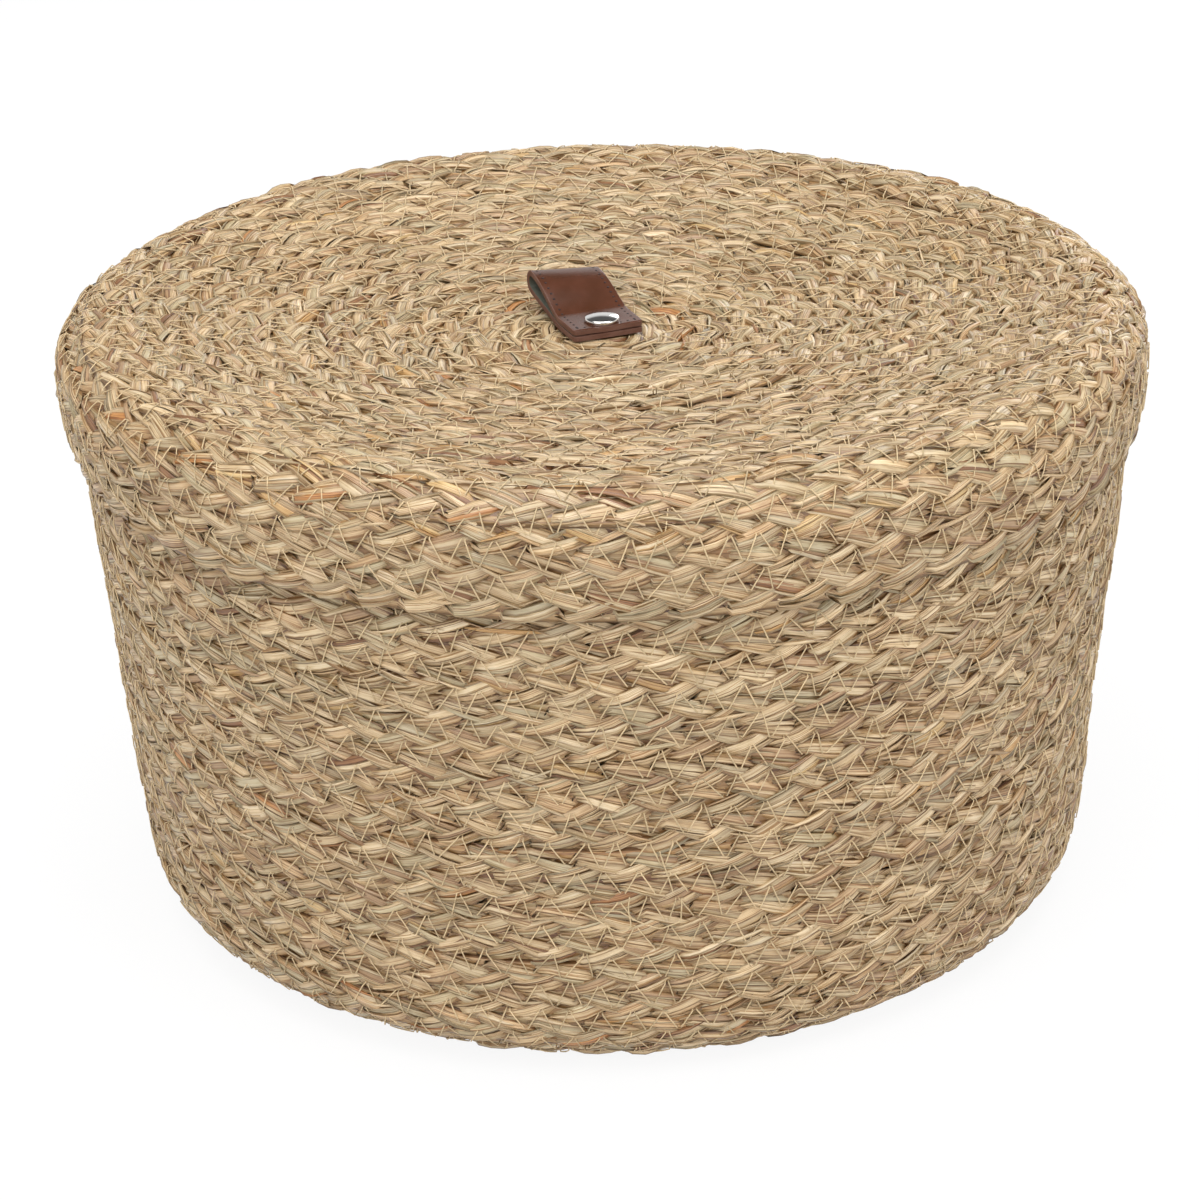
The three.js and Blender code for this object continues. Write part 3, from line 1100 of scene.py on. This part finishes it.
def stitchPull(path):
    strips = StripBin()
    inset, total = pull.stitchInset, path.length
    side = pull.width / 2 - inset
    level = pull.thickness / 2
    places = np.arange(inset, total - inset, pullStitch.pitch)
    lines = [np.stack([places, np.full_like(places, x)], 1) for x in (-side, side)]
    beside = np.linspace(-side, side, round(2 * side / pullStitch.pitch) + 1)
    lines.append(np.stack([np.full_like(beside, total - inset), beside], 1))
    turn = np.linspace(0, tau, 7)[:-1]
    hexagon = np.stack([np.sin(turn), np.cos(turn)], 1)
    for line in lines:
        for hole in line:
            rings = []
            for height, size in pullStitch.holeRings:
                spots = hole + pullStitch.hole * size * hexagon
                rings.append(onPull(path, spots[:, 0], spots[:, 1], level + height))
            # the hole's dark colour is painted shade
            shade = np.array(pullStitch.pricked)
            strips.add(np.array(rings), shade, hole[0], pullStitch.holeLength)
        for first, last in zip(line, line[1:]):
            part = np.linspace(*pullStitch.span, 5)
            spots = first + part[:, None] * (last - first)
            rise = level - pullStitch.sunk + pullStitch.arch * np.sin(math.pi * part)
            sideways = np.array([last[1] - first[1], last[0] - first[0]])
            sideways = pullStitch.radius * sideways / np.hypot(*sideways)
            rings = []
            for up, out in hexagon:
                at = spots + sideways * out
                rings.append(onPull(path, at[:, 0], at[:, 1], rise + pullStitch.radius * up))
            shade = np.array(pullStitch.thread)
            strips.add(np.stack(rings, 1), shade, first[0], pullStitch.threadLength)
    return strips.make("pull_stitches", threadFinish("pull_stitch_thread"))


def placePull():
    path = pullPath()
    strap, stitches = foldPull(path), stitchPull(path)
    for piece in (strap, stitches):
        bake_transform(piece)
    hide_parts("strap_lower_end", "strap_upper_end", "strap_loop")
    print("pull folded and stitched")


placePull()


# Rivet: a low polished cap on the strap, and the stud that comes up through it
capLow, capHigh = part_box("rivet_cap")
studLow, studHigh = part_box("rivet_stud")
rivet = Named(
    lower=0.0006,  # the dome is this much lower than its solid
    sink=0.0006,  # the lip is pressed into the leather
    edge=0.0006,  # rounding under the dome
    edgeTurn=66,  # degrees of it
    crown=0.0007,  # height of the dome over its rounded edge
    crownRings=np.linspace(0.92, 0.02, 12),  # in shares of its radius
    post=0.0016,
    disc=0.0016,
    rounding=0.0004,
    tip=0.0004,  # radius of the last face, in the middle of the stud's two ends
    facets=72,
    surface={"Metallic": 1, "Base Color": (0.74, 0.73, 0.71, 1)},
    roughness=(0.06, 0.14),
    wear={"Scale": 900.0, "Detail": 3.0},
)


def nickelFinish():
    material, wire, surface = newFinish("rivet_nickel", rivet.surface)
    where = wire.node("ShaderNodeTexCoord", out="Object")
    wear = wire.node("ShaderNodeTexNoise", {}, {"Vector": where, **rivet.wear})
    feed(wear.within(rivet.roughness), surface, "Roughness")
    return material


def turnedPiece(name, outline, finish, node):
    facets = rivet.facets
    turn = np.arange(facets) * tau / facets
    verts = [(r * math.cos(a), r * math.sin(a), z) for r, z in outline for a in turn]
    mesh = tubeMesh(name, verts, facets)
    mesh.materials.append(finish)
    piece = addPiece(name, mesh)
    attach(piece, "lid")
    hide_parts(node)


def buildRivet():
    finish = nickelFinish()
    radius, edge, rounding = capHigh.x, rivet.edge, rivet.rounding
    top = capHigh.z - rivet.lower
    shoulder = top - rivet.crown
    outline = [(radius, capLow.z - rivet.sink)]
    outline += arcPoints((radius - edge, shoulder - edge), edge, 0, rivet.edgeTurn, count=7)
    rimRadius, rimHeight = outline[-1]
    for part in rivet.crownRings:
        outline.append((rimRadius * part, rimHeight + (top - rimHeight) * (1 - part**2)))
    turnedPiece("rivet_cap_dome", outline, finish, "rivet_cap")
    low, post, disc = studLow.z, rivet.post, studLow.z + rivet.disc
    outline = [(rivet.tip, low)]
    outline += arcPoints((radius - rounding, low + rounding), rounding, -90, 0, count=5)
    outline += arcPoints((radius - rounding, disc - rounding), rounding, 0, 90, count=5)
    outline += [(post, disc), (post, studHigh.z), (rivet.tip, studHigh.z)]
    turnedPiece("rivet_stud_turned", outline, finish, "rivet_stud")
    print("rivet set")


buildRivet()


# Stage: white floor, pale studio walls under a darker ceiling, and soft lamps
stage = Named(
    floorSize=8.0,
    floor={"Base Color": (0.9, 0.9, 0.9, 1), "Roughness": 0.9, "Specular IOR Level": 0.1},
    floorGlow=0.90,  # how much of the floor's look is plain white
    # Brightness of the walls and the ceiling, from level at 0.5 to overhead at 1
    walls=[(0.50, 0.90), (0.72, 0.88), (0.78, 0.12), (0.92, 0.10), (1.0, 0.30)],
    lampAim=(0, 0, 0.1),
)


def buildFloor():
    bpy.ops.mesh.primitive_plane_add(size=stage.floorSize)
    floor = bpy.context.object
    floor.name = "floor"
    material, wire, surface = newFinish("floor_white", stage.floor)
    seen = wire.node("ShaderNodeLightPath", out="Is Camera Ray")
    mirrored = wire.node("ShaderNodeLightPath", out="Is Glossy Ray")
    white = wire.node("ShaderNodeEmission", {}, {"Strength": 1.0})
    shares = {0: seen * stage.floorGlow + mirrored, 1: Wire(wire.tree, surface.outputs[0]), 2: white}
    feed(wire.node("ShaderNodeMixShader", {}, shares), wire.tree.nodes["Material Output"], "Surface")
    floor.data.materials.append(material)
    floor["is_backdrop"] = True


def buildWorld():
    world = bpy.data.worlds.new("studio")
    bpy.context.scene.world = world
    world.use_nodes = True
    wire = Wire(world.node_tree)
    back = world.node_tree.nodes["Background"]
    direction = wire.node("ShaderNodeTexCoord", out="Generated")
    height = wire.node("ShaderNodeSeparateXYZ", {}, {0: direction}, out="Z") * 0.5 + 0.5  # up is 1
    seen = wire.node("ShaderNodeLightPath", out="Is Camera Ray")
    feed(seen.mix(height.ramp(stage.walls), (1, 1, 1, 1)), back, "Color")


lamps = {
    "key": {"place": (-0.9, -1.5, 1.5), "size": 1.5, "power": 17.5},
    "top": {"place": (0.0, -0.25, 2.0), "size": 2.0, "power": 48},
    "fill": {"place": (1.5, -1.1, 0.9), "size": 1.4, "power": 12},
    "back": {"place": (0.7, 1.7, 0.6), "size": 0.9, "power": 8},
}


def buildLamps():
    for name, lamp in lamps.items():
        data = bpy.data.lights.new(name, "AREA")
        data.energy = lamp["power"]
        data.size = lamp["size"]
        holder = addPiece(name, data)
        holder.location = lamp["place"]
        aim = Vector(stage.lampAim) - holder.location
        holder.rotation_euler = aim.to_track_quat("-Z", "Y").to_euler()


# The photo's view: from the front, a little over the lid, with a slight roll
shot = Named(
    elevation=math.radians(24.65),
    roll=math.radians(-1.515),
    distance=0.969,
    aim=(-0.0027, 0, 0.080),
    lens=94.56,
    sensor=36,
)


def buildCamera():
    data = bpy.data.cameras.new("photo_view")
    data.lens = shot.lens
    data.sensor_width = shot.sensor
    camera = addPiece("photo_view", data)
    forward = Vector((0, math.cos(shot.elevation), -math.sin(shot.elevation)))
    camera.location = Vector(shot.aim) - forward * shot.distance
    turned = forward.to_track_quat("-Z", "Y") @ Quaternion((0, 0, 1), shot.roll)
    camera.rotation_euler = turned.to_euler()
    bpy.context.scene.camera = camera


buildFloor()
buildWorld()
buildLamps()
buildCamera()
bpy.context.scene.view_settings.view_transform = "Standard"
print("stage set")

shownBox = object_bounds()
boxes = {"cad": cadBox, "visual": shownBox}
{name: [list(corner) for corner in box] for name, box in boxes.items()}
